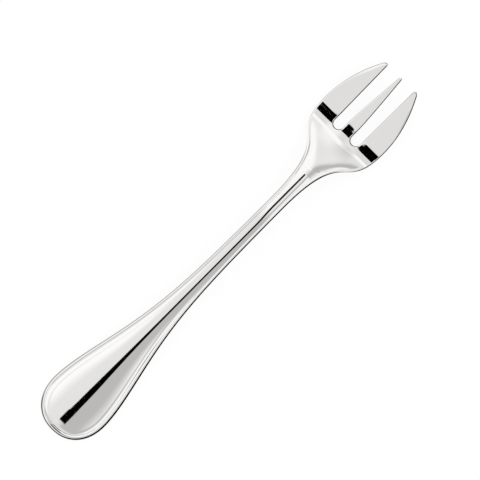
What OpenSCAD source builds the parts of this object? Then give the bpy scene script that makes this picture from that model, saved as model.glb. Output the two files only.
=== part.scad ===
// Oyster fork in polished stainless steel, lying on a table, millimetres.
// X runs from the butt of the handle to the tine tips, Y is to the left of the fork, Z is up.
// The fork is one forging. Its nodes are the named regions of that forging, face to face:
// the handle, the stem, the neck, the root of the head and the three tines.

/* [Whole fork] */
// Length from the butt to the tine tips
fork_l = 150; // [130:1:175]
// Height of the underside at the top of the arch
arch_h = 6; // [4:0.1:8]
// Distance from the tine tips back to the top of the arch
arch_back = 51.5; // [46:0.5:56]
// Depth of the flats worn where the fork rests
land_depth = 0.04; // [0.02:0.01:0.08]

/* [Handle] */
// Greatest width of the handle
handle_w = 21.5; // [17:0.1:25]
// Length of the rounded butt, from its end to the greatest width
butt_l = 12.1; // [9:0.1:15]
// Fullness of the butt's curve, where 2 is an ellipse
butt_power = 2.2; // [2:0.1:2.8]
// Distance over which the handle narrows to the stem
taper_l = 29; // [23:0.5:35]
// Steepness of that narrowing
taper_power = 1.7; // [1.4:0.1:2.1]
// Thickness of the handle between the underside and the bottom of the grooves
handle_t = 1.4; // [1.2:0.05:2.2]
// Distance from the butt to the flat that the handle rests on
rest_x = 6; // [4.5:0.1:8]
// Upward turn of the underside at the butt, in degrees
butt_angle = 2.5; // [0:0.5:5]
// Radius of the crowned panel across the handle
crown_r = 38; // [28:1:60]

/* [Thread border] */
// Width of each thread on the handle
thread_w = 1.35; // [1:0.05:1.7]
// Height of the outer thread on the handle
thread_h = 0.12; // [0.05:0.01:0.2]
// How far the rim falls away outside the outer thread
rim_fall_h = 0.33; // [0.15:0.01:0.4]
// Height of the inner thread on the handle
inner_thread_h = 0.05; // [0.02:0.01:0.1]
// Distance from the tine tips back to where the outer thread has run out
thread_back = 31.5; // [27:0.5:36]
// Length over which the outer thread runs out
thread_fade_l = 8; // [5:0.5:11]
// Distance from the butt to where the inner thread has run out
inner_thread_l = 68; // [60:1:80]
// Length over which the inner thread runs out
inner_fade_l = 36; // [24:1:48]

/* [Stem and neck] */
// Length of the stem, the slender bar between the handle and the neck
stem_l = 34.8; // [26:0.2:44]
// Width of the stem
stem_w = 5; // [4.1:0.1:6]
// Thickness of the stem between the underside and the bottom of the grooves
stem_t = 2.5; // [2:0.05:3.1]
// Radius of the crown along the stem
stem_crown_r = 10.5; // [9:0.5:15]
// Length of the flare from the stem to the widest place of the head
flare_l = 33.2; // [28:0.2:39]
// Length of the neck, the first part of that flare
neck_l = 20.7; // [17:0.1:24]
// Length over which the stem's crown spreads into the palm of the head
crown_fade_l = 5; // [4:0.5:8]

/* [Head] */
// Greatest width across the tines
head_w = 24.8; // [20:0.1:29]
// Thickness of the head at the heel
head_t = 1.9; // [1.5:0.05:2.4]
// Distance from the tine tips back to the heel, the lowest place of the head
heel_back = 22.5; // [21.4:0.1:25]
// Length of the bend behind the heel
back_bend_l = 4.8; // [4:0.1:5.5]
// Length of the bend before the heel
front_bend_l = 3.4; // [2.8:0.1:4.5]
// How far the heel stands back at the rims of the head, against its middle
heel_bow = 0.7; // [0:0.05:1]
// Length of the palm between the neck and the bend
palm_l = 10.5; // [8:0.1:12.5]
// Downward slope where the palm starts, in degrees
neck_angle = 20; // [14:0.5:26]
// Downward slope where the palm ends, in degrees
palm_angle = 17; // [12:0.5:24]
// Height of the crown where the palm starts
palm_crown_h = 0.36; // [0:0.01:0.5]
// Depth of the shallow dish in the palm
palm_dish = 0.05; // [0:0.01:0.3]

/* [Tines] */
// Length of the tines, from the widest place of the head to the tips
tine_l = 20; // [17:0.1:21]
// Width of the middle tine at its foot
middle_w = 3.9; // [3.2:0.05:4.5]
// Width of the slots between the tines
slot_w = 3.4; // [2.8:0.05:4.2]
// Distance from the widest place of the head back to the centre of the slots' round ends
slot_back = 3; // [2.3:0.1:3.5]
// Outward lean of the outer tines' inner edges, over their length
inner_lean = 0.25; // [0:0.01:0.5]
// Width of the middle tine at its tip, before the rounding
middle_tip_w = 0.9; // [0.7:0.05:1.2]
// Fullness of the middle tine's edges, where 1 is straight
middle_power = 1.25; // [1:0.05:1.6]
// Width of the outer tines at their tips, before the rounding
outer_tip_w = 1.2; // [0.9:0.05:1.5]
// Fullness of the outer tines' outer edges, where 2 is close to an arc
outer_power = 2; // [1.7:0.05:2.4]
// Length over which the tips are rounded
tip_round_l = 0.6; // [0.4:0.05:0.8]
// Thickness of the tine tips
tip_t = 0.85; // [0.6:0.05:1.1]
// Upward slope at the foot of the tines, in degrees
tine_angle = 17; // [12:0.5:22]
// Upward slope at the tips, in degrees
tip_angle = 20; // [14:0.5:26]
// Distance from the tips back to where the outer tines' faces start to fall towards their rims
bevel_back = 18; // [15:0.5:20]
// Length over which that fall grows
bevel_fade_l = 14; // [10:0.5:16]
// Width of that fall, in from the rim
bevel_w = 1.2; // [0.8:0.1:1.6]
// Depth of that fall at the rim
bevel_h = 0.18; // [0:0.01:0.3]
// Width of the soft edges round the fork's face
edge_w = 0.36; // [0.25:0.01:0.5]
// Slope of the soft edges at the rim, in degrees
edge_angle = 36; // [25:1:42]

/* [Hidden] */
// Width of a thread on the stem, as a share of the stem's width
stem_thread_share = 0.2;
// Height of the threads on the stem, as a share of their height on the handle
stem_relief_share = 0.7;
// Width of the rounding under the handle's rim, as a share of the thickness there
under_round_share = 0.5;
// Height of the roundings under the edges, as a share of the thickness there
edge_h_share = 0.27;
// How far in from the rim its fall reaches, as a share of the outer thread's width
rim_share = 0.6;
// How the soft edges and the fall of the tines steepen towards the rim
soft_power = 1.5;
// Where the inner thread runs out round the butt, as shares of the half width: its end and its fade
butt_thread_shares = [0.35, 0.4];
// How square the crown's section is: nearly an arc, and at the end of the palm
arc_power = 2.15;
palm_power = 8.15;
// Where the heel's bow is complete, as a share of the half width
bow_share = 5 / 8;
// Mean slope of the heel's two bends, as a share of the slope at their far ends
bend_share = 2 / 3;
// Pull of the two handles of the curve that shapes the flare, as shares of its length
flare_pull_shares = [0.836, 0.473];
// Where the sections have points: across a thread, across the panel and across a tine
thread_shares = [0, 0.25, 0.5, 0.75, 1];
panel_shares = [0.2, 0.4, 0.6, 0.8, 1];
tine_shares = [0, 0.08, 0.22, 0.4, 0.6, 0.78, 0.92, 1];
// Where the tine root's sections stand, as shares of its length
root_section_shares = [0, 0.12, 0.24, 0.36, 0.45, 0.52, 0.59, 0.66, 0.73, 0.8, 0.87, 0.94, 1];
// Where the tines' sections stand, as shares of their length, and then of the rounded tip
tine_section_shares = [0, 0.1, 0.22, 0.36, 0.5, 0.64, 0.76, 0.86, 0.94];
tip_section_shares = [0, 0.4, 0.7, 0.9, 0.985];
// How many sections the long pieces have, and ribs round the butt
handle_section_count = 18;
stem_section_count = 9;
neck_section_count = 12;
butt_rib_count = 26;
// Steps of the search for the place on the flare's curve
search_step_count = 24;
// Smoothness of the slots' round ends
slot_fn = 48;

// Stations along the fork, from the butt
blade_x = fork_l - tine_l;
neck_x = blade_x - flare_l;
handle_l = neck_x - stem_l;
root_x = neck_x + neck_l;
slot_x = blade_x - slot_back;
heel_x = fork_l - heel_back;
palm_end_x = heel_x - back_bend_l;
palm_x = palm_end_x - palm_l;
arch_x = fork_l - arch_back;
blade_start_x = heel_x + front_bend_l;
thread_end_x = fork_l - thread_back;
// Places across the fork
slot_y = (middle_w + slot_w) / 2;
slot_wall_y = slot_y + slot_w / 2;
outer_tip_y = slot_wall_y + inner_lean + outer_tip_w;
stem_thread_w = stem_thread_share * stem_w;
// Heights of the underside at the bends
palm_end_z = back_bend_l * tan(palm_angle) * bend_share - land_depth;
palm_z = palm_end_z + palm_l * (tan(neck_angle) + tan(palm_angle)) / 2;
blade_start_z = front_bend_l * tan(tine_angle) * bend_share - land_depth;
tip_z = blade_start_z + (fork_l - blade_start_x) * (tan(tine_angle) + tan(tip_angle)) / 2;
// The underside seen from the side, as [station, height, slope]
side_line = [
    [0, rest_x * tan(butt_angle) / 2 - land_depth, -tan(butt_angle)],
    [rest_x, -land_depth, 0],
    [arch_x, arch_h, 0],
    [palm_x, palm_z, -tan(neck_angle)],
    [palm_end_x, palm_end_z, -tan(palm_angle)],
    [heel_x, -land_depth, 0],
    [blade_start_x, blade_start_z, tan(tine_angle)],
    [fork_l, tip_z, tan(tip_angle)],
];
// The thickness along the fork, as [station, thickness, slope]
thickness_line = [
    [0, handle_t, 0],
    [arch_x, stem_t, 0],
    [heel_x, head_t, 0],
    [fork_l, tip_t, 0],
];
// Columns of a section between the rim and the spine
side_columns = 2 * len(thread_shares) - 1 + len(panel_shares) - 1;

// Rises smoothly from 0 to 1 as u goes from 0 to 1
function smooth(u) = let (v = max(0, min(1, u))) v * v * (3 - 2 * v);

// The cubic through two [station, value, slope] points
function between(x, a, b) =
    let (l = b[0] - a[0], u = (x - a[0]) / l)
    a[1] * (1 - u * u * (3 - 2 * u)) + b[1] * u * u * (3 - 2 * u)
    + l * a[2] * u * (1 - u) * (1 - u) - l * b[2] * u * u * (1 - u);

// The value at x of a smooth line through [station, value, slope] points
function along(x, line, i = 0) =
    i >= len(line) - 2 || x <= line[i + 1][0]
        ? between(x, line[i], line[i + 1])
        : along(x, line, i + 1);

// 1 at the handle's greatest width, falling to 0 on the stem
function fullness(x) = exp(-pow(max(0, x - butt_l) / taper_l, taper_power));

// A cubic Bezier curve through four numbers
function bezier(p, t) =
    p[0] * pow(1 - t, 3) + 3 * p[1] * pow(1 - t, 2) * t + 3 * p[2] * (1 - t) * t * t + p[3] * t * t * t;

// The place on the flare's curve that stands at x, found by halving
function flare_place(x, low = 0, high = 1, steps = search_step_count) =
    let (t = (low + high) / 2, pull = flare_pull_shares * flare_l)
    steps == 0 ? t
        : bezier([0, pull[0], pull[1], flare_l], t) < x - neck_x
            ? flare_place(x, t, high, steps - 1)
            : flare_place(x, low, t, steps - 1);

// What the flare adds to the stem's half width
function flare(x) =
    x <= neck_x ? 0
        : x >= blade_x ? (head_w - stem_w) / 2
        : bezier([0, 0, (head_w - stem_w) / 2, (head_w - stem_w) / 2], flare_place(x));

// Half width of the fork from the widest place of the handle to that of the head
function half_w(x) = stem_w / 2 + (handle_w - stem_w) / 2 * fullness(x) + flare(x);

// How much longer a cut straight across is than one square to the edge
function lean(x) =
    let (step = stem_w / 20, m = (half_w(x + step) - half_w(x - step)) / (2 * step))
    sqrt(1 + m * m);

// Width and relative height of the threads
function thread_width(x) = stem_thread_w + (thread_w - stem_thread_w) * fullness(x);
function thread_relief(x) = stem_relief_share + (1 - stem_relief_share) * fullness(x);
function outer_fade(x) = 1 - smooth((x - thread_end_x) / thread_fade_l + 1);
function inner_fade(x) = 1 - smooth((x - inner_thread_l) / inner_fade_l + 1);

// Rises from 0 on the stem to 1 where the palm starts
function in_palm(x) = smooth((x - palm_x) / crown_fade_l + 1);

// Height of the crown above the outer groove, on the axis: nearly an arc on the handle and the stem, which
// spreads into the palm and runs out at its end
function crown_h(x) =
    let (
        panel = half_w(x) - thread_width(x),
        r = stem_crown_r + (crown_r - stem_crown_r) * fullness(x) * fullness(x)
    )
    panel * panel / (2 * r) * (1 - in_palm(x))
    + palm_crown_h * in_palm(x) * smooth(2 * (palm_end_x - x) / palm_l);

// The crown's section: nearly an arc on the handle and the stem, flat with round shoulders in the palm
function crown_power(x) =
    arc_power + (palm_power - arc_power) * smooth(3 / 2 * (x - palm_x) / palm_l);

// A rounded ridge of height 1 between two grooves at 0 and 1
function ridge(u) = u <= 0 || u >= 1 ? 0 : 4 * u * (1 - u);

// How much of the inner thread is left: it runs out round the butt
function at_sides(x, y, half) =
    max(smooth((abs(y) / half - butt_thread_shares[0]) / butt_thread_shares[1]), smooth(x / butt_l));

// Height of the underside, before its edges are rounded
function underside(x, y, half) =
    let (bow = heel_bow * smooth(abs(y) / (bow_share * half)))
    along(x + bow * smooth((x - palm_end_x) / (2 * back_bend_l) + 1 / 2), side_line)
    - dish(x, y, half);

// Depth of the dish in the palm
function dish(x, y, half) =
    palm_dish * smooth((x - palm_x) / back_bend_l) * smooth((palm_end_x - x) / back_bend_l)
    * (1 - pow(y / half, 2));

// The share of a rounding of width w that is left at distance d from an edge
function rounding(d, w) = d >= w ? 0 : pow(1 - d / w, 2);
function soft(d, w) = d >= w ? 0 : pow(1 - d / w, soft_power);

// Depth of a soft edge of width w, at the rim
function soft_depth(w) = w * tan(edge_angle) / soft_power;

// How far a tine's face has fallen at distance d from the head's outline
function bevel(x, d) =
    bevel_h * smooth((x - fork_l + bevel_back) / bevel_fade_l) * soft(max(0, d), bevel_w);

// One column of the forging, [x, y, top, underside], at distance d from the rim, where from_spine
// is 0 on the axis and 1 at the outer thread. Where that thread runs out, the edge is softer.
function column(x, y, d, from_spine, half) =
    let (
        t = along(x, thickness_line),
        low = underside(x, y, half),
        u = d / thread_width(x),
        inner = inner_thread_h * inner_fade(x) * at_sides(x, y, half),
        threads = thread_relief(x) * (thread_h * outer_fade(x) * ridge(u) + inner * ridge(u - 1)),
        crown = crown_h(x) * (1 - pow(max(0, from_spine), crown_power(x))),
        bare = 1 - outer_fade(x),
        under_w = bare * edge_w + (1 - bare) * under_round_share * t,
        top_drop = bare * soft_depth(edge_w) * soft(d, edge_w)
            + (1 - bare) * rim_fall_h * thread_relief(x) * soft(u, rim_share),
        low_rise = edge_h_share * t * rounding(d, under_w)
    )
    [x, y, low + t + threads + crown - top_drop, low + low_rise];

// Distances from the rim at which a cut has columns, from the rim to the spine
function offsets(width, length) = concat(
    [for (s = thread_shares) s * width],
    [for (i = [1:len(thread_shares) - 1]) (1 + thread_shares[i]) * width],
    [for (s = panel_shares) 2 * width + s * (length - 2 * width)]
);

// The columns along a line from the rim to the spine of the fork
function rib(rim, spine, x, stretch) =
    let (
        length = norm(rim - spine),
        width = thread_width(x) * stretch,
        panel = length - width
    )
    [for (o = offsets(width, length))
        let (p = rim + (spine - rim) * o / length)
        column(p[0], p[1], o / stretch, min(1, (length - o) / panel), half_w(max(butt_l, p[0])))];

// A cut straight across the fork at x, from the left rim to the right rim
function cut_across(x) =
    let (
        half = half_w(x),
        left = rib([x, half], [x, 0], x, lean(x)),
        last = len(left) - 1
    )
    concat(left, [for (i = [last - 1:-1:0]) let (c = left[i]) [c[0], -c[1], c[2], c[3]]]);

// Cuts from one station to another
function cuts(from_x, to_x, count) =
    [for (i = [0:count]) cut_across(from_x + (to_x - from_x) * i / count)];

// A cut round the butt, from the rim to the spine; the angle is 90 at the left side and 0 at the end
function butt_rib(angle) =
    let (
        power = 2 / butt_power,
        rim = [
            butt_l - butt_l * pow(abs(cos(angle)), power),
            sign(angle) * handle_w / 2 * pow(abs(sin(angle)), power)
        ]
    )
    rib(rim, [butt_l, 0], butt_l, 1);

// Two triangles for the four corners of a patch
function patch(a, b, c, d) = [[a, b, c], [a, c, d]];

// A closed skin over rows of columns, each row running from left to right
module skin(rows) {
    n = len(rows[0]);
    last = len(rows) - 1;
    points = [for (row = rows, side = [2, 3], c = row) [c[0], c[1], c[side]]];
    top = function (i, k) i * 2 * n + k;
    low = function (i, k) i * 2 * n + n + k;
    faces = concat(
        [for (i = [0:last - 1], k = [0:n - 2])
            each patch(top(i, k), top(i + 1, k), top(i + 1, k + 1), top(i, k + 1))],
        [for (i = [0:last - 1], k = [0:n - 2])
            each patch(low(i, k), low(i, k + 1), low(i + 1, k + 1), low(i + 1, k))],
        [for (i = [0:last - 1]) each patch(top(i, 0), low(i, 0), low(i + 1, 0), top(i + 1, 0))],
        [for (i = [0:last - 1])
            each patch(top(i, n - 1), top(i + 1, n - 1), low(i + 1, n - 1), low(i, n - 1))],
        [for (k = [0:n - 2]) each patch(top(0, k), top(0, k + 1), low(0, k + 1), low(0, k))],
        [for (k = [0:n - 2])
            each patch(top(last, k), low(last, k), low(last, k + 1), top(last, k + 1))]
    );
    polyhedron(points, faces);
}

// The handle's skin: rows across it, and ribs that turn about the spine's end round the butt
module handle_skin(rows, ribs) {
    n = len(rows[0]);
    spine = side_columns;
    last = len(rows) - 1;
    row_points = [for (row = rows, side = [2, 3], c = row) [c[0], c[1], c[side]]];
    rib_points = [for (i = [1:len(ribs) - 2], side = [2, 3], k = [0:spine - 1])
        let (c = ribs[i][k]) [c[0], c[1], c[side]]];
    on_row = function (i, k, under) i * 2 * n + under * n + k;
    on_rib = function (j, k, under)
        k == spine ? on_row(0, spine, under)
            : j == 0 ? on_row(0, k, under)
            : j == butt_rib_count ? on_row(0, n - 1 - k, under)
            : (last + 1) * 2 * n + ((j - 1) * 2 + under) * spine + k;
    row_patch = function (i, j, k, m, under)
        patch(on_row(i, k, under), on_row(j, k, under), on_row(j, m, under), on_row(i, m, under));
    rib_patch = function (i, j, k, under)
        patch(on_rib(i, k, under), on_rib(i, k + 1, under), on_rib(j, k + 1, under), on_rib(j, k, under));
    faces = concat(
        [for (i = [0:last - 1], k = [0:n - 2]) each row_patch(i, i + 1, k, k + 1, 0)],
        [for (i = [0:last - 1], k = [0:n - 2]) each row_patch(i + 1, i, k, k + 1, 1)],
        [for (i = [0:last - 1])
            each patch(on_row(i, 0, 0), on_row(i, 0, 1), on_row(i + 1, 0, 1), on_row(i + 1, 0, 0))],
        [for (i = [0:last - 1]) let (k = n - 1)
            each patch(on_row(i + 1, k, 0), on_row(i + 1, k, 1), on_row(i, k, 1), on_row(i, k, 0))],
        [for (i = [last], k = [0:n - 2])
            each patch(on_row(i, k, 0), on_row(i, k, 1), on_row(i, k + 1, 1), on_row(i, k + 1, 0))],
        [for (j = [0:butt_rib_count - 1], k = [0:spine - 2]) each rib_patch(j, j + 1, k, 0)],
        [for (j = [0:butt_rib_count - 1], k = [0:spine - 2]) each rib_patch(j + 1, j, k, 1)],
        [for (j = [0:butt_rib_count - 1])
            [on_rib(j, spine - 1, 0), on_rib(0, spine, 0), on_rib(j + 1, spine - 1, 0)]],
        [for (j = [0:butt_rib_count - 1])
            [on_rib(j, spine - 1, 1), on_rib(j + 1, spine - 1, 1), on_rib(0, spine, 1)]],
        [for (j = [0:butt_rib_count - 1])
            each patch(on_rib(j + 1, 0, 0), on_rib(j + 1, 0, 1), on_rib(j, 0, 1), on_rib(j, 0, 0))]
    );
    polyhedron(concat(row_points, rib_points), faces);
}

// Removes what lies under the table, which leaves the flat that the fork rests on
module stand_on_table() {
    difference() {
        children();
        translate([-fork_l, -head_w, -arch_h]) cube([3 * fork_l, 2 * head_w, arch_h]);
    }
}

// Puts the middle of the fork's length over the origin
module centred() {
    translate([-fork_l / 2, 0, 0]) children();
}

// The broad end that the hand holds, with its two threads and its crowned panel
module handle() {
    color("silver")
        centred()
            stand_on_table()
                handle_skin(
                    cuts(butt_l, handle_l, handle_section_count),
                    [for (j = [0:butt_rib_count]) butt_rib(90 - 180 * j / butt_rib_count)]
                );
}

// The slender bar between the handle and the neck
module stem() {
    color("silver") centred() skin(cuts(handle_l, neck_x, stem_section_count));
}

// The bar's descent to the head, where it starts to widen
module neck() {
    color("silver") centred() skin(cuts(neck_x, root_x, neck_section_count));
}

// The slot between two tines, with its round end
module slot(side) {
    translate([slot_x, side * slot_y, -arch_h]) {
        cylinder(d = slot_w, h = 3 * arch_h, $fn = slot_fn);
        translate([0, -slot_w / 2, 0]) cube([tine_l, slot_w, 3 * arch_h]);
    }
}

// The palm of the head with the heel under it, where the tines are rooted
module tine_root() {
    color("silver")
        centred()
            stand_on_table()
                difference() {
                    skin([for (s = root_section_shares) cut_across(root_x + s * (blade_x - root_x))]);
                    slot(-1);
                    slot(1);
                }
}

// The edges of the tines, as the distance from the fork's axis at a station
outer_edge = function (x)
    head_w / 2 - (head_w / 2 - outer_tip_y) * pow((x - blade_x) / tine_l, outer_power);
inner_edge = function (x) slot_wall_y + inner_lean * (x - blade_x) / tine_l;
middle_edge = function (x)
    middle_w / 2 - (middle_w - middle_tip_w) / 2 * pow((x - blade_x) / tine_l, middle_power);

// How much of its rounding an edge has at a station: the rim's is whole from the foot of the tine,
// and a slot's is cut square there and grows
rim_edge = function (x) 1;
slot_edge = function (x) smooth((x - blade_x) / slot_back);

// A tine between two edges that round off together at the tip, each with how far it is rounded
module tine(left_edge, left_rounded, right_edge, right_rounded) {
    stations = concat(
        [for (s = tine_section_shares) [blade_x + s * (tine_l - tip_round_l), 1]],
        [for (s = tip_section_shares) [fork_l - (1 - s) * tip_round_l, sqrt(1 - s * s)]]
    );
    skin([for (station = stations)
        let (
            x = station[0],
            middle = (left_edge(x) + right_edge(x)) / 2,
            half = (left_edge(x) - right_edge(x)) / 2 * station[1],
            t = along(x, thickness_line),
            w = min(half, edge_w),
            h = edge_h_share * t * w / edge_w
        )
        [for (s = tine_shares)
            let (
                y = middle + half * (1 - 2 * s),
                low = underside(x, y, head_w / 2),
                d = 2 * half * min(s, 1 - s),
                rounded = s < 1 / 2 ? left_rounded(x) : right_rounded(x),
                drop = rounded * soft_depth(w) * soft(d, w) + bevel(x, outer_edge(x) - abs(y))
            )
            [x, y, low + t - drop, low + h * rounded * rounding(d, w)]]]);
}

// The broad left tine, with a straight inner edge and a curved outer one
module left_tine() {
    color("silver") centred() tine(outer_edge, rim_edge, inner_edge, slot_edge);
}

// The narrow tapered tine on the axis
module middle_tine() {
    color("silver")
        centred()
            tine(middle_edge, slot_edge, function (x) -middle_edge(x), slot_edge);
}

// The broad right tine, the left one's mirror image
module right_tine() {
    color("silver")
        centred()
            tine(function (x) -inner_edge(x), slot_edge, function (x) -outer_edge(x), rim_edge);
}

handle();
stem();
neck();
tine_root();
left_tine();
middle_tine();
right_tine();
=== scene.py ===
import math

import bmesh
import bpy
import numpy as np
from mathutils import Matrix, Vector
from mathutils.geometry import delaunay_2d_cdt


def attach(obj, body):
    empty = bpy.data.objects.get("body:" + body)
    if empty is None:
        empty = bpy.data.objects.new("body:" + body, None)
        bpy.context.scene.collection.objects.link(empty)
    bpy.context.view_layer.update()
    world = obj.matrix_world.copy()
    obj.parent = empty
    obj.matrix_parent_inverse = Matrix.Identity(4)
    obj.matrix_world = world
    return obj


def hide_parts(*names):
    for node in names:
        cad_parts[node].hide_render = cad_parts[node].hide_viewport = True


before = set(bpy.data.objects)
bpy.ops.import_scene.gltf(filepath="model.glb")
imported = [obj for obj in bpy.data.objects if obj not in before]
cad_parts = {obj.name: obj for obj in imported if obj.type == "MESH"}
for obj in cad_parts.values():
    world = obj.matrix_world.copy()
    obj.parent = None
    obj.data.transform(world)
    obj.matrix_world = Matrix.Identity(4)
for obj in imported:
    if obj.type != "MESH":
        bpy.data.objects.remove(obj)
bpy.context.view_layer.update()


# The blank: the fork's flat shape, stamped in one stroke from a strip of stainless steel.
# It is set out by stations from the butt. A full round end narrows to a slender bar, the bar
# flares into the head, and two round-ended slots part the three tines.
MM = 0.001
FORK_L = 150 * MM
HANDLE_W = 21.5 * MM
BUTT_L = 12.1 * MM             # from the end of the fork to the widest place of the handle
BUTT_POWER = 2.2               # 2 draws an ellipse, and more draws a fuller end
TAPER_L, TAPER_POWER = 29 * MM, 1.7
THREAD_W = 1.35 * MM           # one thread of the border, on the handle
STEM_THREAD_SHARE = 0.2        # the same thread on the bar, as a share of the bar's width
STEM_L, STEM_W = 34.8 * MM, 5 * MM
FLARE_L, NECK_L = 33.2 * MM, 20.7 * MM
FLARE_PULL = 0.836, 0.473      # its curve's two inner control points, as shares of its length
HEAD_W, TINE_L = 24.8 * MM, 20 * MM
SLOT_W, SLOT_BACK = 3.4 * MM, 3 * MM
INNER_LEAN = 0.25 * MM         # how far an outer tine's inner side leans outwards, at the tip
MIDDLE_W, MIDDLE_TIP_W, MIDDLE_POWER = 3.9 * MM, 0.9 * MM, 1.25
OUTER_TIP_W, OUTER_POWER = 1.2 * MM, 2
TIP_ROUND_L = 0.6 * MM
EDGE_W = 0.36 * MM             # the rounding along the edges of the head

BLADE_X = FORK_L - TINE_L
NECK_X = BLADE_X - FLARE_L
HANDLE_L = NECK_X - STEM_L
ROOT_X = NECK_X + NECK_L
SLOT_X, SLOT_R = BLADE_X - SLOT_BACK, SLOT_W / 2
SLOT_Y = MIDDLE_W / 2 + SLOT_R
SLOT_WALL_Y = SLOT_Y + SLOT_R
TIP_X = FORK_L - TIP_ROUND_L

share = np.linspace(0, 1, 2001)
flare_x = FLARE_L * (3 * FLARE_PULL[0] * share * (1 - share) ** 2
                     + 3 * FLARE_PULL[1] * share ** 2 * (1 - share) + share ** 3)
flare_y = (HEAD_W - STEM_W) / 2 * (3 * share ** 2 * (1 - share) + share ** 3)


def fullness(x):
    """1 over the broad end of the handle, falling to 0 down the taper."""
    return np.exp(-(np.maximum(0, x - BUTT_L) / TAPER_L) ** TAPER_POWER)


def half_width(x):
    """Half the width of the handle, the bar and the flare."""
    bar = STEM_W / 2 + (HANDLE_W - STEM_W) / 2 * fullness(x)
    return bar + np.interp(x - NECK_X, flare_x, flare_y)


def thread_width(x):
    """Width of one thread of the border."""
    slim = STEM_THREAD_SHARE * STEM_W
    return slim + (THREAD_W - slim) * fullness(x)


def outer_edge(x):
    """The long curved side of an outer tine."""
    tip_y = SLOT_WALL_Y + INNER_LEAN + OUTER_TIP_W
    along = np.clip((x - BLADE_X) / TINE_L, 0, 1)
    return HEAD_W / 2 - (HEAD_W / 2 - tip_y) * along ** OUTER_POWER


def inner_edge(x):
    """The straight side of an outer tine, along the slot."""
    return SLOT_WALL_Y + INNER_LEAN * np.maximum(0, x - BLADE_X) / TINE_L


def middle_edge(x):
    """The side of the middle tine."""
    along = np.clip((x - BLADE_X) / TINE_L, 0, 1)
    return MIDDLE_W / 2 - (MIDDLE_W - MIDDLE_TIP_W) / 2 * along ** MIDDLE_POWER


def rim(x):
    """The outline of the fork, without its slots."""
    return np.where(x < BLADE_X, half_width(x), outer_edge(x))


def lean(x):
    """How much longer a cut straight across is than one square to the rim."""
    step = STEM_W / 20
    low, high = np.maximum(BUTT_L, x - step), np.maximum(BUTT_L, x) + step
    return np.hypot(1, (rim(high) - rim(low)) / (high - low))


def butt_ray(x, y):
    """Distance from the middle of the round end, and the rim's distance that way."""
    dx, dy = np.minimum(0, x - BUTT_L), np.abs(y)
    out = np.maximum(np.hypot(dx, dy), 1e-9)
    fill = (np.abs(dx) / BUTT_L) ** BUTT_POWER + (dy / (HANDLE_W / 2)) ** BUTT_POWER
    return out, out / np.maximum(fill, 1e-12) ** (1 / BUTT_POWER)


def edge_distance(x, y):
    """Distance from the nearest edge of the blank: the rim, a slot or a tip."""
    side = np.abs(y)
    out, reach = butt_ray(x, y)
    near = np.where(x < BUTT_L, reach - out, (rim(x) - side) / lean(x))
    ring = np.hypot(x - SLOT_X, side - SLOT_Y) - SLOT_R
    wall = np.where(side > SLOT_Y, side - inner_edge(x), middle_edge(x) - side)
    slot = np.where(x < SLOT_X, ring, wall)
    middle = np.where(side > SLOT_Y, (outer_edge(x) + inner_edge(x)) / 2, 0)
    half = np.where(side > SLOT_Y, (outer_edge(x) - inner_edge(x)) / 2, middle_edge(x))
    round_off = np.hypot((x - TIP_X) / TIP_ROUND_L, (side - middle) / half)
    near = np.where((side > SLOT_Y) | (x < SLOT_X), np.minimum(near, slot), slot)
    return np.where(x > TIP_X, (1 - round_off) * half, near)


def from_spine(x, y):
    """0 on the spine of the handle and 1 at the edge of its crowned panel."""
    out, reach = butt_ray(x, y)
    panel = np.where(x < BUTT_L, reach, half_width(x)) - thread_width(x) * lean(x)
    return np.minimum(1, np.where(x < BUTT_L, out, np.abs(y)) / panel)


def outer_distance(x, y):
    """Distance in from the outline of the head, without its slots."""
    return (rim(x) - np.abs(y)) / lean(x)


def across(x, y):
    """-1 at the right rim, 0 in the middle and 1 at the left rim."""
    return y / half_width(np.maximum(x, BUTT_L))


def half_here(x, y):
    """The half width, asked for as the other rules are."""
    return half_width(x)


def spaced(x, y, gap):
    """Points at even gaps along a finely drawn line, both ends included."""
    run = np.concatenate([[0], np.cumsum(np.hypot(np.diff(x), np.diff(y)))])
    at = np.linspace(0, run[-1], max(2, round(run[-1] / gap)) + 1)
    return np.column_stack([np.interp(at, run, x), np.interp(at, run, y)])


# The left half of the outline, from the butt round the rim, the tines and the slot to the tip.
# Each stretch is drawn finely and then divided into even gaps.
RIM_GAP, HEAD_GAP, WALL_GAP = 0.34 * MM, 0.26 * MM, 0.2 * MM
SLOT_END_GAP, TIP_GAP = 0.13 * MM, 0.07 * MM
FINE, TINE_FINE = 1500, 800
turn = np.linspace(0, math.pi / 2, FINE)
stretches = [(BUTT_L - BUTT_L * np.cos(turn) ** (2 / BUTT_POWER),
              HANDLE_W / 2 * np.sin(turn) ** (2 / BUTT_POWER), RIM_GAP)]
for start, end in ((BUTT_L, HANDLE_L), (HANDLE_L, NECK_X), (NECK_X, ROOT_X), (ROOT_X, BLADE_X),
                   (BLADE_X, TIP_X)):
    x = np.linspace(start, end, FINE)
    stretches.append((x, rim(x), RIM_GAP if end < ROOT_X else HEAD_GAP))
tip_x = TIP_X + TIP_ROUND_L * np.sin(turn)
tip_middle = (outer_edge(tip_x) + inner_edge(tip_x)) / 2
tip_half = (outer_edge(tip_x) - inner_edge(tip_x)) / 2 * np.cos(turn)
stretches.append((np.concatenate([tip_x, tip_x[::-1]]),
                  np.concatenate([tip_middle + tip_half, (tip_middle - tip_half)[::-1]]), TIP_GAP))
back = np.linspace(TIP_X, BLADE_X, TINE_FINE)
stretches.append((back, inner_edge(back), HEAD_GAP))
stretches.append((np.array([BLADE_X, SLOT_X]), np.array([SLOT_WALL_Y] * 2), WALL_GAP))
bow = np.linspace(0, math.pi, FINE)
stretches.append((SLOT_X - SLOT_R * np.sin(bow), SLOT_Y + SLOT_R * np.cos(bow), SLOT_END_GAP))
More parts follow.
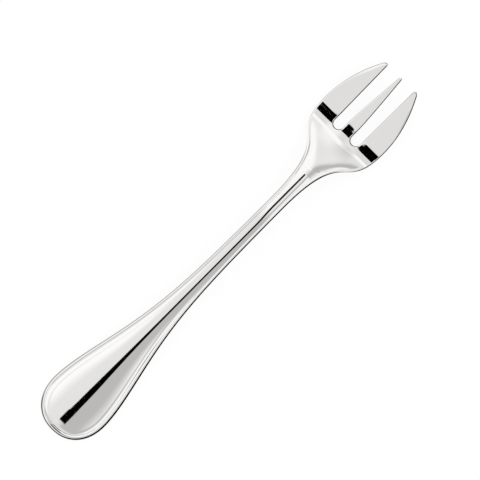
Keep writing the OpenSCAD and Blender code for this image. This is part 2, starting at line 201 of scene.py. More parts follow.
stretches.append((np.array([SLOT_X, BLADE_X]), np.array([MIDDLE_W / 2] * 2), WALL_GAP))
stretches.append((back[::-1], middle_edge(back[::-1]), HEAD_GAP))
stretches.append((tip_x, middle_edge(tip_x) * np.cos(turn), TIP_GAP))
left = np.concatenate([spaced(x, y, gap)[:-1] for x, y, gap in stretches] + [[[FORK_L, 0]]])
outline = np.concatenate([left, (left * (1, -1))[-2:0:-1]])

# Rows of points that follow the outline inwards. They lie close together over the border and the
# rounded edges, and are counted in thread widths and in edge widths. The border's rows end past
# the place where the border has faded out, and those of the edges begin before it. A point that
# strays nearer to another edge, as in a corner, is left out.
heading = np.roll(outline, -1, axis=0) - np.roll(outline, 1, axis=0)
inward = np.column_stack([heading[:, 1], -heading[:, 0]]) / np.hypot(*heading.T)[:, None]
THREAD_ROWS = [0.04] + [k / 10 for k in range(1, 21)] + [2.05, 2.12, 2.25]
EDGE_ROWS = [0.1, 0.22, 0.36, 0.52, 0.68, 0.84, 1, 1.35, 1.9, 2.6]
THREAD_END_X, EDGE_START_X = 121.5 * MM, 111 * MM
STRAY_SHARE, STRAY = 0.05, 0.004 * MM
rows = []
for reach, rows_here, kept in (
        (thread_width(outline[:, 0]), THREAD_ROWS, outline[:, 0] < THREAD_END_X),
        (np.full(len(outline), EDGE_W), EDGE_ROWS, outline[:, 0] > EDGE_START_X)):
    for row in rows_here:
        depth = (reach * row)[kept]
        points = (outline + inward * (reach * row)[:, None])[kept]
        true = edge_distance(points[:, 0], points[:, 1])
        rows.append(points[np.abs(true - depth) < STRAY_SHARE * depth + STRAY])

# The open field between those rows
HANDLE_FIELD_GAP, HEAD_FIELD_GAP = 0.5 * MM, 0.36 * MM
for start, end, gap in ((0, EDGE_START_X, HANDLE_FIELD_GAP),
                        (EDGE_START_X, FORK_L, HEAD_FIELD_GAP)):
    lines = np.arange(-round(HEAD_W / 2 / gap), round(HEAD_W / 2 / gap) + 1)
    steps = np.arange(start, end, gap)
    x, k = np.meshgrid(steps, lines)
    x, y = (x + gap / 2 * (k % 2)).ravel(), (k * gap).ravel()
    rim_rows = np.where(x < THREAD_END_X, THREAD_ROWS[-1] * thread_width(x),
                        EDGE_ROWS[-1] * EDGE_W)
    rows.append(np.column_stack([x, y])[edge_distance(x, y) > rim_rows + gap / 2])
field = np.concatenate(rows)

# Straight lines across, where the regions of the fork meet
CUTS = (HANDLE_L, NECK_X, ROOT_X, BLADE_X)
CUT_CLEAR, CUT_GAP = 0.11 * MM, 0.4 * MM
field = field[np.min([np.abs(field[:, 0] - x) for x in CUTS], axis=0) > CUT_CLEAR]
points, joins = [*outline], [(i, (i + 1) % len(outline)) for i in range(len(outline))]
for x in CUTS:
    spans = [(-rim(x), rim(x))]
    if x == BLADE_X:
        spans = [(SLOT_WALL_Y, rim(x)), (-MIDDLE_W / 2, MIDDLE_W / 2), (-rim(x), -SLOT_WALL_Y)]
    for low, high in spans:
        width = thread_width(x) if x < THREAD_END_X else EDGE_W
        shares = THREAD_ROWS if x < THREAD_END_X else EDGE_ROWS
        marks = [s * width * float(lean(x)) for s in shares]
        inner = np.linspace(low + marks[-1], high - marks[-1],
                            max(2, round((high - low - 2 * marks[-1]) / CUT_GAP)) + 1)
        line = sorted({*(low + m for m in marks), *(high - m for m in marks), *inner[1:-1]})
        ends = [int(np.argmin(np.hypot(outline[:, 0] - x, outline[:, 1] - y))) for y in (low, high)]
        chain = [ends[0], *range(len(points), len(points) + len(line)), ends[1]]
        points += [np.array([x, y]) for y in line]
        joins += list(zip(chain, chain[1:]))
points = np.concatenate([np.array(points), field])
INSIDE, SAME_POINT = 1, 1e-6
flat, _, faces, _, _, _ = delaunay_2d_cdt([Vector(p) for p in points / MM], joins, [],
                                          INSIDE, SAME_POINT)
flat = np.array([tuple(p) for p in flat]) * MM

# Each point carries what the dies ask of it, with the slope of each measure along x and y
blank = bpy.data.meshes.new("blank")
blank.from_pydata([(x - FORK_L / 2, y, 0) for x, y in flat], [], faces)
RULES = {"edge": edge_distance, "spine": from_spine, "across": across,
         "outer": outer_distance, "half": half_here}
STEP = 1e-7                    # the step over which each slope is taken, in metres
for name, rule in RULES.items():
    x, y = flat[:, 0], flat[:, 1]
    along_x = (rule(x + STEP, y) - rule(x - STEP, y)) / (2 * STEP)
    along_y = (rule(x, y + STEP) - rule(x, y - STEP)) / (2 * STEP)
    value = np.column_stack([rule(x, y), along_x, along_y]).astype(np.float32)
    blank.attributes.new(name, "FLOAT_VECTOR", "POINT").data.foreach_set("vector", value.ravel())
REGIONS = ("handle", "stem", "neck", "tine_root", "right_tine", "middle_tine", "left_tine")
centre = np.array([flat[list(f)].mean(axis=0) for f in faces])
region = np.searchsorted(CUTS, centre[:, 0])
region += np.where(region == len(CUTS), np.searchsorted([-SLOT_Y, SLOT_Y], centre[:, 1]), 0)
blank.attributes.new("region", "INT", "FACE").data.foreach_set("value", region.astype(np.int32))


# The dies: the blank is coined between two halves that give it its side profile, its thickness,
# the crown of the handle, the two threads of its border, the dish of the palm and the rounded
# edges. The tree below is that pair of dies, with one named input for each size.
class Wire:
    """A socket in an expression: each operator adds its Math node."""

    def __init__(self, socket):
        self.socket = socket

    @staticmethod
    def node(tree, kind, settings=None, values=None, out=0):
        """Any node: its type, its settings, then the values or links of its sockets.

        A socket that takes several links gets a list.
        """
        made = tree.nodes.new(kind)
        for name, value in (settings or {}).items():
            if name == "stops":     # of a colour ramp
                while len(made.color_ramp.elements) < len(value):
                    made.color_ramp.elements.new(0.5)
                for stop, (place, colour) in zip(made.color_ramp.elements, value):
                    stop.position, stop.color = place, colour
            else:
                setattr(made, name, value)
        for key, value in (values or {}).items():
            if isinstance(value, (Wire, list)):
                for wire in value if isinstance(value, list) else [value]:
                    tree.links.new(wire.socket, made.inputs[key])
            else:
                made.inputs[key].default_value = value
        return Wire(made.outputs[out]) if len(made.outputs) else None

    @staticmethod
    def mix(tree, kind, share, first, last):
        """A Mix node of colours or of vectors, whose like-named sockets go by their numbers."""
        at, out = {"VECTOR": (4, 1), "RGBA": (6, 2)}[kind]
        return Wire.node(tree, "ShaderNodeMix", {"data_type": kind},
                         {0: share, at: first, at + 1: last}, out)

    def math(self, operation, *values, clamp=False):
        settings = {"operation": operation, "use_clamp": clamp}
        return Wire.node(self.socket.id_data, "ShaderNodeMath", settings, dict(enumerate(values)))

    def __add__(self, other): return self.math("ADD", self, other)
    def __radd__(self, other): return self.math("ADD", other, self)
    def __sub__(self, other): return self.math("SUBTRACT", self, other)
    def __rsub__(self, other): return self.math("SUBTRACT", other, self)
    def __mul__(self, other): return self.math("MULTIPLY", self, other)
    def __rmul__(self, other): return self.math("MULTIPLY", other, self)
    def __truediv__(self, other): return self.math("DIVIDE", self, other)
    def __rtruediv__(self, other): return self.math("DIVIDE", other, self)
    def __pow__(self, other): return self.math("POWER", self, other)
    def __rpow__(self, other): return self.math("POWER", other, self)
    def most(self, other): return self.math("MAXIMUM", self, other)
    def least(self, other): return self.math("MINIMUM", self, other)
    def clamped(self): return self.math("ADD", self, 0.0, clamp=True)

    def smooth(self):
        """0 up to 0, 1 from 1 on, and an even S between them."""
        return Wire.node(self.socket.id_data, "ShaderNodeMapRange",
                         {"interpolation_type": "SMOOTHSTEP"}, {0: self})


BLANK_SIZES = {"Fork length": FORK_L, "Butt length": BUTT_L, "Taper length": TAPER_L,
               "Taper power": TAPER_POWER, "Thread width": THREAD_W,
               "Stem thread": STEM_THREAD_SHARE, "Stem width": STEM_W, "Edge width": EDGE_W}
DIE_LENGTHS = {
    # The side profile and the thickness. A length that ends in "back" is counted from the tips.
    "Rest": 6, "Land depth": 0.04, "Arch back": 51.5, "Arch height": 6, "Palm length": 10.5,
    "Back bend": 4.8, "Heel back": 22.5, "Heel bow": 0.7, "Front bend": 3.4,
    "Handle thickness": 1.4, "Stem thickness": 2.5, "Head thickness": 1.9, "Tip thickness": 0.85,
    # The crown and the border
    "Crown radius": 38, "Stem crown radius": 10.5, "Crown fade": 5, "Rim fall": 0.33,
    "Thread height": 0.12, "Thread back": 31.5, "Thread fade": 8,
    "Inner thread height": 0.05, "Inner thread end": 68, "Inner thread fade": 36,
    # The palm and the tines
    "Palm crown": 0.36, "Palm dish": 0.05,
    "Bevel back": 18, "Bevel fade": 14, "Bevel width": 1.2, "Bevel height": 0.18,
}
DIE_ANGLES = {"Butt angle": 2.5, "Neck angle": 20, "Palm angle": 17, "Tine angle": 17,
              "Tip angle": 20, "Edge angle": 36}
# "Bend" is how high a bend rises, as a share of its length times the slope it ends with
DIE_SHARES = {"Crown power": 2.15, "Stem relief": 0.7, "Bend": 2 / 3, "Rim share": 0.6,
              "Edge height": 0.27, "Under rounding": 0.5}
DIE_SIZES = {**BLANK_SIZES, **{k: v * MM for k, v in DIE_LENGTHS.items()},
             **{k: math.radians(v) for k, v in DIE_ANGLES.items()}, **DIE_SHARES}


def add_inputs(tree, sizes):
    for name, value in sizes.items():
        made = tree.interface.new_socket(name=name, in_out="INPUT", socket_type="NodeSocketFloat")
        made.default_value = value


def along(x, line):
    """The smooth line through (station, height, slope) points, at station x.

    A slope of None is level.
    """
    value = line[0][1]
    for (x0, v0, m0), (x1, v1, m1) in zip(line, line[1:]):
        length = x1 - x0
        u = ((x - x0) / length).clamped()
        value = value + (v1 - v0) * (u * u * (3 - 2 * u))
        if m0 is not None:
            value = value + length * m0 * u * (1 - u) * (1 - u)
        if m1 is not None:
            value = value - length * m1 * u * u * (1 - u)
    return value


# The heights of the two faces at any place of the blank
die = bpy.data.node_groups.new("die heights", "GeometryNodeTree")
PLACE = {"Station": 0, "Edge distance": 0, "From spine": 0, "Across": 0, "Outer distance": 0,
         "Half width": 0}
add_inputs(die, {**PLACE, **DIE_SIZES})
for name in ("Top", "Underside"):
    die.interface.new_socket(name=name, in_out="OUTPUT", socket_type="NodeSocketFloat")
inside = Wire.node(die, "NodeGroupInput").socket.node.outputs
size = {name: Wire(inside[name]) for name in (*PLACE, *DIE_SIZES)}
x, edge, spine = size["Station"], size["Edge distance"], size["From spine"]
heel_x = size["Fork length"] - size["Heel back"]
palm_end_x = heel_x - size["Back bend"]
palm_x = palm_end_x - size["Palm length"]
arch_x = size["Fork length"] - size["Arch back"]
blade_start_x = heel_x + size["Front bend"]
neck_slope, palm_slope, tine_slope, tip_slope, butt_slope = (
    size[name].math("TANGENT", size[name])
    for name in ("Neck angle", "Palm angle", "Tine angle", "Tip angle", "Butt angle"))
land = size["Land depth"]
palm_end_z = size["Back bend"] * palm_slope * size["Bend"] - land
palm_z = palm_end_z + size["Palm length"] * (neck_slope + palm_slope) / 2
blade_z = size["Front bend"] * tine_slope * size["Bend"] - land
tip_z = blade_z + (size["Fork length"] - blade_start_x) * (tine_slope + tip_slope) / 2
in_palm = ((x - palm_x) / size["Crown fade"] + 1).smooth()
outwards = size["Across"].math("ABSOLUTE", size["Across"])
HEEL_BOW_RISE = 1.6            # the heel is bowed in full from 1 / 1.6 of the way to the rim
bowed = x + (size["Heel bow"] * (outwards * HEEL_BOW_RISE).smooth()
             * ((x - palm_end_x) / size["Back bend"] / 2 + 0.5).smooth())
profile = along(bowed, [
    (0, size["Rest"] * butt_slope / 2 - land, -1 * butt_slope),
    (size["Rest"], -1 * land, None),
    (arch_x, size["Arch height"], None),
    (palm_x, palm_z, -1 * neck_slope),
    (palm_end_x, palm_end_z, -1 * palm_slope),
    (heel_x, -1 * land, None),
    (blade_start_x, blade_z, tine_slope),
    (size["Fork length"], tip_z, tip_slope)])
thick = along(x, [(0, size["Handle thickness"], None), (arch_x, size["Stem thickness"], None),
                  (heel_x, size["Head thickness"], None),
                  (size["Fork length"], size["Tip thickness"], None)])
tapered = ((x - size["Butt length"]).most(0) / size["Taper length"]) ** size["Taper power"]
full = math.e ** (-1 * tapered)
slim = size["Stem thread"] * size["Stem width"]
thread = slim + (size["Thread width"] - slim) * full
relief = size["Stem relief"] + (1 - size["Stem relief"]) * full
outer_fade = ((x - size["Fork length"] + size["Thread back"]) / size["Thread fade"] + 1).smooth()
inner_fade = ((x - size["Inner thread end"]) / size["Inner thread fade"] + 1).smooth()
u_outer = (edge / thread).least(1)
u_inner = (edge / thread - 1).clamped()
# The inner thread fades out round the very end of the butt
SIDE_FROM, SIDE_OVER = 0.35, 0.4
at_sides = ((outwards - SIDE_FROM) / SIDE_OVER).smooth().most(
    (x / size["Butt length"]).smooth())
# Each thread is an arch across its own width, 4 u (1 - u) of its height
threads = 4 * relief * (
    size["Thread height"] * (1 - outer_fade) * u_outer * (1 - u_outer)
    + size["Inner thread height"] * (1 - inner_fade) * at_sides * u_inner * (1 - u_inner))
panel = size["Half width"] - thread
crown_r = size["Stem crown radius"] + (
    size["Crown radius"] - size["Stem crown radius"]) * full * full
crown = panel * panel / (2 * crown_r) * (1 - in_palm)
PALM_CROWN_END = 2             # it fades out over the last half of the palm
crown = crown + size["Palm crown"] * in_palm * (
    (palm_end_x - x) / size["Palm length"] * PALM_CROWN_END).smooth()
dish = ((x - palm_x) / size["Back bend"]).smooth() * ((palm_end_x - x) / size["Back bend"]).smooth()
profile = profile - size["Palm dish"] * dish * (1 - size["Across"] * size["Across"])


def rounding(distance, width):
    """1 at the edge, falling to 0 over the width as a quarter round does."""
    q = (distance / width).clamped()
    q = q * (2 - q)
    return 1 - q.math("SQRT", q)


# Rim, edge and bevel fall away to the outline with the same bend
FALL_POWER = 1.5
edge_w = size["Edge width"]
soft_edge = (edge_w * size["Edge angle"].math("TANGENT", size["Edge angle"]) / FALL_POWER
             * outer_fade * (1 - edge / edge_w).most(0) ** FALL_POWER)
near_rim = (1 - edge / (size["Rim share"] * thread)).most(0)
soft_edge = (soft_edge
             + size["Rim fall"] * relief * (1 - outer_fade) * near_rim ** FALL_POWER)
bevel = (size["Bevel height"] * ((x - size["Fork length"] + size["Bevel back"])
                                 / size["Bevel fade"]).smooth()
         * (1 - size["Outer distance"] / size["Bevel width"]).most(0) ** FALL_POWER)
edge_h = size["Edge height"] * thick
under_w = outer_fade * edge_w + (1 - outer_fade) * size["Under rounding"] * thick
PALM_FLATTER, PALM_FLAT_RISE = 6, 1.5    # the crown is flatter in the palm, and falls late
crown_power = size["Crown power"] + PALM_FLATTER * (
    (x - palm_x) / size["Palm length"] * PALM_FLAT_RISE).smooth()
top = profile + thick + threads + crown * (1 - spine ** crown_power) - soft_edge - bevel
under = (profile + edge_h * rounding(edge, under_w)).most(0)
Wire.node(die, "NodeGroupOutput", None, {"Top": top, "Underside": under})

# The stroke of the press: the flat blank in, the forging out
press = bpy.data.node_groups.new("press", "GeometryNodeTree")
press.is_modifier = True
press.interface.new_socket(name="Geometry", in_out="INPUT", socket_type="NodeSocketGeometry")
add_inputs(press, DIE_SIZES)
press.interface.new_socket(name="Steel", in_out="INPUT", socket_type="NodeSocketMaterial")
press.interface.new_socket(name="Geometry", in_out="OUTPUT", socket_type="NodeSocketGeometry")
inside = Wire.node(press, "NodeGroupInput").socket.node.outputs
flat_blank, steel_in = Wire(inside["Geometry"]), Wire(inside["Steel"])
size = {name: Wire(inside[name]) for name in DIE_SIZES}


def parts_of(vector):
    return [Wire.node(press, "ShaderNodeSeparateXYZ", None, {0: vector}, out=i) for i in range(3)]


def vector_of(x, y, z):
    return Wire.node(press, "ShaderNodeCombineXYZ", None, {0: x, 1: y, 2: z})


def unit(vector):
    return Wire.node(press, "ShaderNodeVectorMath", {"operation": "NORMALIZE"}, {0: vector})


def carried(name):
    """A measure that the blank's points carry, with its slopes along x and y."""
    return parts_of(Wire.node(press, "GeometryNodeInputNamedAttribute",
                              {"data_type": "FLOAT_VECTOR"}, {"Name": name}))


row_x, row_y, _ = parts_of(Wire.node(press, "GeometryNodeInputPosition"))
station = row_x + size["Fork length"] * 0.5
measures = {"Edge distance": carried("edge"), "From spine": carried("spine"),
            "Across": carried("across"), "Outer distance": carried("outer"),
            "Half width": carried("half")}


def heights(dx, dy):
    """Top and underside at a small step from each point."""
    values = {"Station": station + dx, **size}
    for name, (value, along_x, along_y) in measures.items():
        values[name] = value + along_x * dx + along_y * dy
    made = Wire.node(press, "GeometryNodeGroup", {"node_tree": die}, values)
    return made, Wire(made.socket.node.outputs["Underside"])


FEEL = 0.01 * MM               # the step over which the slope of each face is felt
AT_EDGE, WELD = 0.002 * MM, 0.0008 * MM
top, under = heights(0, 0)
ahead, behind, over, below = (heights(dx, dy) for dx, dy in (
    (FEEL, 0), (-FEEL, 0), (0, FEEL), (0, -FEEL)))
edge, edge_x, edge_y = measures["Edge distance"]
wall_normal = unit(vector_of(-1 * edge_x, -1 * edge_y, 0))
at_edge = edge.math("LESS_THAN", edge, AT_EDGE)
# The outermost points of the underside face outwards, where it rolls up into the wall
normals = []
for side, up, rolled in ((0, 1, 0.0), (1, -1, at_edge)):
    slope_x = (ahead[side] - behind[side]) / (2 * FEEL)
    slope_y = (over[side] - below[side]) / (2 * FEEL)
    skin = unit(vector_of(-up * slope_x, -up * slope_y, up))
    normals.append(Wire.mix(press, "VECTOR", rolled, skin, wall_normal))


def stored(geometry, name, kind, domain, value):
    return Wire.node(press, "GeometryNodeStoreNamedAttribute",
                     {"data_type": kind, "domain": domain},
                     {"Geometry": geometry, "Name": name, "Value": value})


def moved(geometry, z):
    return Wire.node(press, "GeometryNodeSetPosition", None,
                     {"Geometry": geometry, "Position": vector_of(row_x, row_y, z)})


# Every face keeps its kind, which is 0 on top, and every point keeps the true direction that the
# skin and the wall face there
WALL, SOLE, CAP = 1, 2, 3
drawn = Wire.node(press, "GeometryNodeExtrudeMesh", {"mode": "FACES"},
                  {"Mesh": flat_blank, "Offset Scale": 0.0, "Individual": False})
is_top, is_wall = (Wire(drawn.socket.node.outputs[name]) for name in ("Top", "Side"))
body = stored(drawn, "kind", "INT", "FACE", is_wall)
body = stored(body, "skin", "FLOAT_VECTOR", "POINT",
              Wire.mix(press, "VECTOR", is_top, normals[1], normals[0]))
body = stored(body, "wall", "FLOAT_VECTOR", "POINT", wall_normal)
body = moved(body, under + (top - under) * is_top)
sole = Wire.node(press, "GeometryNodeFlipFaces", None, {"Mesh": flat_blank})
sole = stored(sole, "kind", "INT", "FACE", SOLE)
sole = stored(sole, "skin", "FLOAT_VECTOR", "POINT", normals[1])
sole = stored(sole, "wall", "FLOAT_VECTOR", "POINT", wall_normal)
sole = moved(sole, under)
joined = Wire.node(press, "GeometryNodeJoinGeometry", None, {"Geometry": [body, sole]})
joined = Wire.node(press, "GeometryNodeMergeByDistance", None,
                   {"Geometry": joined, "Distance": WELD})
joined = Wire.node(press, "GeometryNodeRealizeInstances", None, {"Geometry": joined})
joined = Wire.node(press, "GeometryNodeSetMaterial", None,
                   {"Geometry": joined, "Material": steel_in})
Wire.node(press, "NodeGroupOutput", None, {"Geometry": joined})


# The finish: mirror polish on stainless steel, worked along the fork with finer and finer mops.
# What is left of the work is a faint waviness, hairlines along the fork, and a slight haze where
# fingers and cloths rub.
BRIGHT, RUBBED = (0.80, 0.795, 0.785, 1), (0.765, 0.758, 0.745, 1)
POLISH, HAZE_MATT, HAIRLINE_MATT = 0.018, 0.03, 0.03
HAZE_FROM, HAZE_RISE = 0.35, 1.6
HAIRLINE_STRETCH = 20
HAIRLINE_FROM, HAIRLINE_RISE, HAIRLINE_DEPTH = 0.62, 6, 0.012
steel = bpy.data.materials.new("polished_steel")
steel.use_nodes = True
tree = steel.node_tree
tree.nodes.clear()
where = Wire.node(tree, "ShaderNodeTexCoord", out="Object")
stretch = Wire.node(tree, "ShaderNodeMapping", None,
                    {"Vector": where, "Scale": (1 / HAIRLINE_STRETCH, 1, 1)})
hairlines = Wire.node(tree, "ShaderNodeTexNoise", None,
                      {"Vector": stretch, "Scale": 4200.0, "Detail": 3.0, "Roughness": 0.6})
haze = Wire.node(tree, "ShaderNodeTexNoise", None,
                 {"Vector": where, "Scale": 70.0, "Detail": 4.0, "Roughness": 0.55})
wave = Wire.node(tree, "ShaderNodeTexNoise", None,
                 {"Vector": where, "Scale": 190.0, "Detail": 1.5, "Roughness": 0.4})
scratched = ((hairlines - HAIRLINE_FROM) * HAIRLINE_RISE).clamped()
hazy = ((haze - HAZE_FROM) * HAZE_RISE).clamped()
roughness = POLISH + HAZE_MATT * hazy + HAIRLINE_MATT * scratched
tint = Wire.mix(tree, "RGBA", haze, BRIGHT, RUBBED)
bump = Wire.node(tree, "ShaderNodeBump", None,
                 {"Strength": 0.35, "Distance": 0.004 * MM,
                  "Height": wave + hairlines * HAIRLINE_DEPTH})
shader = Wire.node(tree, "ShaderNodeBsdfPrincipled", None,
                   {"Base Color": tint, "Metallic": 1.0, "Roughness": roughness, "Normal": bump})
Wire.node(tree, "ShaderNodeOutputMaterial", None, {"Surface": shader})


# The forging: the fork is one piece of steel. It leaves the dies whole, and it is then laid out by
# the regions that its drawing names, which meet face to face without a step in the polish.
forging = bpy.data.objects.new("forging", blank)
bpy.context.scene.collection.objects.link(forging)
modifier = forging.modifiers.new("press", "NODES")
modifier.node_group = press
for item in press.interface.items_tree:
    if item.in_out == "INPUT" and item.name in DIE_SIZES:
        modifier[item.identifier] = DIE_SIZES[item.name]
    elif item.name == "Steel":
        modifier[item.identifier] = steel
whole = bpy.data.meshes.new_from_object(
    forging.evaluated_get(bpy.context.evaluated_depsgraph_get()))
forging.modifiers.remove(modifier)
bpy.data.objects.remove(forging)


def read(source, field, number, width=1):
    """One value, or one row of values, for each point, face or corner."""
    values = np.zeros(len(source) * width, number)
    source.foreach_get(field, values)
    return values.reshape(-1, width) if width > 1 else values


for index, name in enumerate(REGIONS):
    part = bmesh.new()
    part.from_mesh(whole)
    of_region = part.faces.layers.int["region"]
    kind = part.faces.layers.int["kind"]
    bmesh.ops.delete(part, geom=[f for f in part.faces if f[of_region] != index], context="FACES")
    middle_x = sum(v.co.x for v in part.verts) / len(part.verts)
    open_edges = [e for e in part.edges if e.is_boundary]
    for face in bmesh.ops.holes_fill(part, edges=open_edges, sides=0)["faces"]:
        face[kind] = CAP
        face.normal_update()
        if face.normal.x * (face.calc_center_median().x - middle_x) < 0:
            face.normal_flip()
    mesh = bpy.data.meshes.new(name)
    part.to_mesh(mesh)
    part.free()
    mesh.materials.append(steel)
    mesh.shade_smooth()

    # Each corner of a face takes the direction that the dies gave it, so the polish runs on from
    # region to region
    skin = read(mesh.attributes["skin"].data, "vector", np.float32, 3)
    wall = read(mesh.attributes["wall"].data, "vector", np.float32, 3)
    kinds = read(mesh.attributes["kind"].data, "value", np.int32)
    corner = read(mesh.loops, "vertex_index", np.int32)
    flat_normal = read(mesh.polygons, "normal", np.float32, 3)
    face_of = np.repeat(np.arange(len(mesh.polygons)),
                        read(mesh.polygons, "loop_total", np.int32))
    kind_of = kinds[face_of][:, None]
    normal = np.where(kind_of == WALL, wall[corner], skin[corner])
    normal = np.where(kind_of == CAP, flat_normal[face_of], normal)
    mesh.normals_split_custom_set([tuple(n) for n in normal])
    for attribute in ("skin", "wall", "kind", "region", *RULES):
        if attribute in mesh.attributes:
            mesh.attributes.remove(mesh.attributes[attribute])
    piece = bpy.data.objects.new(f"{name}_steel", mesh)
    bpy.context.scene.collection.objects.link(piece)
    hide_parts(name)
    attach(piece, "root")


# The table: a wide matt white board. It takes the fork's soft shadow, and its own light lifts it to
# plain white where the camera or the steel looks at it.
BOARD_HALF = 3.0
DULL_WHITE, CLEAR_WHITE = (0.97, 0.97, 0.97, 1), (0.985, 0.985, 0.985, 1)
LIFT_SHARE, LIFT_LIGHT = 0.84, 1.02
floor_mesh = bpy.data.meshes.new("board")
floor_mesh.from_pydata([(-BOARD_HALF, -BOARD_HALF, 0), (BOARD_HALF, -BOARD_HALF, 0),
                        (BOARD_HALF, BOARD_HALF, 0), (-BOARD_HALF, BOARD_HALF, 0)],
                       [], [(0, 1, 2, 3)])
board = bpy.data.objects.new("board", floor_mesh)
bpy.context.scene.collection.objects.link(board)
white = bpy.data.materials.new("matt_white")
white.use_nodes = True
tree = white.node_tree
tree.nodes.clear()
where = Wire.node(tree, "ShaderNodeTexCoord", out="Object")
grain = Wire.node(tree, "ShaderNodeTexNoise", None,
                  {"Vector": where, "Scale": 900.0, "Detail": 2.0})
matt = Wire.node(tree, "ShaderNodeBsdfDiffuse", None,
                 {"Color": Wire.mix(tree, "RGBA", grain, DULL_WHITE, CLEAR_WHITE)})
lift = Wire.node(tree, "ShaderNodeEmission", None,
                 {"Color": (1, 1, 1, 1), "Strength": LIFT_LIGHT})
by_eye, by_gloss, by_glass = (Wire.node(tree, "ShaderNodeLightPath", out=name) for name in (
    "Is Camera Ray", "Is Glossy Ray", "Is Transmission Ray"))
seen = (by_eye + by_gloss + by_glass).clamped()
surface = Wire.node(tree, "ShaderNodeMixShader", None, {0: LIFT_SHARE * seen, 1: matt, 2: lift})
Wire.node(tree, "ShaderNodeOutputMaterial", None, {"Surface": surface})
floor_mesh.materials.append(white)


# The light: an even white room, and over the table a tent of white cloth with a narrow black
# card across its top. Only polished steel shows the tent, and the tent's shades draw the crown
# of the handle, the threads and the bend of the heel.
world = bpy.data.worlds.new("room")
bpy.context.scene.world = world
world.use_nodes = True
world.node_tree.nodes["Background"].inputs["Color"].default_value = (1, 1, 1, 1)
world.node_tree.nodes["Background"].inputs["Strength"].default_value = 1.0

TENT_R, HEM_Z = 8.0, -2.4
dome = bmesh.new()
bmesh.ops.create_icosphere(dome, subdivisions=5, radius=TENT_R)
bmesh.ops.delete(dome, geom=[v for v in dome.verts if v.co.z < HEM_Z], context="VERTS")
bmesh.ops.reverse_faces(dome, faces=dome.faces[:])
tent_mesh = bpy.data.meshes.new("tent")
dome.to_mesh(tent_mesh)
dome.free()
tent = bpy.data.objects.new("tent", tent_mesh)
bpy.context.scene.collection.objects.link(tent)
cloth = bpy.data.materials.new("tent_cloth")
cloth.use_nodes = True
cloth.cycles.emission_sampling = "NONE"
tree = cloth.node_tree
tree.nodes.clear()
where = Wire.node(tree, "ShaderNodeTexCoord", out="Object")
dx, dy, dz = (Wire.node(tree, "ShaderNodeSeparateXYZ", None, {0: where}, out=i) for i in range(3))
# A place on the tent is named by its angles from straight up, in degrees: along the fork
# towards the tines, and to the fork's left
DEGREES = 180 / math.pi
along_angle = dx.math("ARCTAN2", dx, dz) * DEGREES
side_angle = dy.math("ARCTAN2", dy, dz) * DEGREES


def shades(angle, stops, low=-90.0, high=90.0):
    """A brightness that changes evenly with an angle, through (angle, brightness) stops."""
    place = (angle - low) / (high - low)
    placed = [((a - low) / (high - low), (b / 2, b / 2, b / 2, 1)) for a, b in stops]
    ramp = Wire.node(tree, "ShaderNodeValToRGB", {"stops": placed}, {0: place})
    return 2 * Wire.node(tree, "ShaderNodeSeparateColor", None, {0: ramp})


def between(angle, low, high, soft):
    """1 between two angles, with soft ends."""
    return ((angle - low) / soft + 0.5).smooth() * ((high - angle) / soft + 0.5).smooth()


# From side to side the cloth is shaded as the handle and the bar show it. What the other parts
# mirror lies further along the fork, in zones of their own: where each begins and ends, how
# softly, and its shades.
HANDLE_SHADES = [(-60, 1.2), (-32, 1.22), (-28, 1.12), (-24.5, 0.92), (-21, 0.77),
                 (-17.5, 0.64), (-14, 0.62), (-3.5, 0.63), (0.6, 0.98), (13, 0.99),
                 (18, 1.12), (22, 1.24), (60, 1.24)]
ZONES = (
    # The tines
    (-75, -24, 3, [(-60, 0.93), (10, 0.93), (16, 1.2), (60, 1.2)]),
    # The end of the bar and the first fall of the neck
    (-3, 21.5, 3, [(-30, 1.2), (-14.5, 1.15), (-12.2, 0.55), (-10, 0.55), (-7.5, 1.0),
                   (0, 1.05), (1.5, 1.15), (13, 1.22), (60, 1.24)]),
    # The bend of the neck, and the heel
    (21.5, 35.9, 1.5, [(-30, 1.1), (-16, 0.6), (-6, 0.6), (-3.5, 1.0), (-1.5, 0.9),
                       (1, 0.9), (3, 1.12), (10, 1.22)]),
    (35.7, 40.2, 0.9, [(-26, 1.15), (-17, 0.62), (-6, 0.62), (-3, 0.95), (-1, 1.2),
                       (10, 1.25)]),
    # The palm
    (40.1, 65, 0.9, [(-32, 1.15), (-21, 0.6), (-8, 0.58), (-4, 0.7), (-2, 0.88), (0, 1.0),
                     (2, 1.12), (6, 1.22)]),
)
glow = shades(side_angle, HANDLE_SHADES)
for low, high, soft, stops in ZONES:
    zone = between(along_angle, low, high, soft)
    glow = glow * (1 - zone) + shades(side_angle, stops) * zone

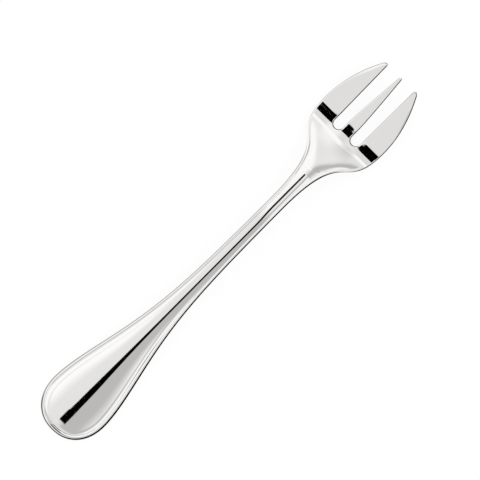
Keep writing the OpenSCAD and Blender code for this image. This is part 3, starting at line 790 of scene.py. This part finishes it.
# The low sky goes from black on the right to pale grey on the left, and darker at the skirt and
# towards the two ends. The steep rims mirror it, and the whole fork where it is seen from the side.
level = (dx * dx + dy * dy).math("SQRT", dx * dx + dy * dy).most(1e-6)
down_angle = level.math("ARCTAN2", level, dz) * DEGREES
lean_y, lean_x = dy / level, dx / level
LOW_FROM, LOW_SOFT, LEFT_LATER, ENDS_LATER = 45, 8, 5, 16
LOW_GLOW, LEFT_GLOW = 0.4, 0.4
ENDS_FROM, ENDS_OVER, ENDS_DARKER = 0.1, 0.3, 0.65
SKIRT_FROM, SKIRT_SOFT, SKIRT_DARKER = 69, 8, 0.45
low_sky = ((down_angle - LOW_FROM - LEFT_LATER * lean_y - ENDS_LATER * lean_x ** 4)
           / LOW_SOFT).smooth()
ends = ((lean_x * lean_x - ENDS_FROM) / ENDS_OVER).smooth()
skirt = ((down_angle - SKIRT_FROM) / SKIRT_SOFT).smooth()
glow = glow * (1 - low_sky) + ((LOW_GLOW + LEFT_GLOW * lean_y) * low_sky
                               * (1 - SKIRT_DARKER * skirt) * (1 - ENDS_DARKER * ends))

# The card lies further to the left over its far part, and its butt end is a little wider
CARD_ENDS, CARD_RIGHT, CARD_LEFT, CARD_SOFT = (-21.2, 20.6), -4.1, 0.8, 0.6
BUTT_END, BUTT_END_SOFT, BUTT_END_LEFT = -13, 2, 0.5
FAR_END, FAR_END_SOFT, FAR_END_RIGHT, FAR_END_LEFT = -5.2, 4, 2.4, 3
butt_end = between(along_angle, CARD_ENDS[0], BUTT_END, BUTT_END_SOFT)
far_end = ((along_angle - FAR_END) / FAR_END_SOFT).smooth()
card = between(along_angle, *CARD_ENDS, 1) * between(
    side_angle, CARD_RIGHT + FAR_END_RIGHT * far_end,
    CARD_LEFT + BUTT_END_LEFT * butt_end + FAR_END_LEFT * far_end, CARD_SOFT)
glow = glow * (1 - card)
surface = Wire.node(tree, "ShaderNodeEmission", None, {"Color": glow})
Wire.node(tree, "ShaderNodeOutputMaterial", None, {"Surface": surface})
tent_mesh.materials.append(cloth)
for ray in ("camera", "diffuse", "transmission", "volume_scatter", "shadow"):
    setattr(tent, f"visible_{ray}", False)


# The camera: straight above the table on a long lens, turned so that the fork lies from the lower
# left to the upper right of a square picture.
VIEW_W = 145.2 * MM            # how much of the table the picture takes in
AIM_X, AIM_Y, AIM_Z = 5.9 * MM, 0.05 * MM, 4 * MM
PICTURE_TURN = -45.14
lens_data = bpy.data.cameras.new("camera")
lens_data.lens, lens_data.sensor_width = 400, 36
camera = bpy.data.objects.new("camera", lens_data)
bpy.context.scene.collection.objects.link(camera)
camera.location = (AIM_X, AIM_Y, AIM_Z + VIEW_W * lens_data.lens / lens_data.sensor_width)
camera.rotation_euler = (0, 0, math.radians(PICTURE_TURN))
lens_data.clip_start, lens_data.clip_end = 0.05, 50
bpy.context.scene.camera = camera
bpy.context.scene.view_settings.view_transform = "Standard"
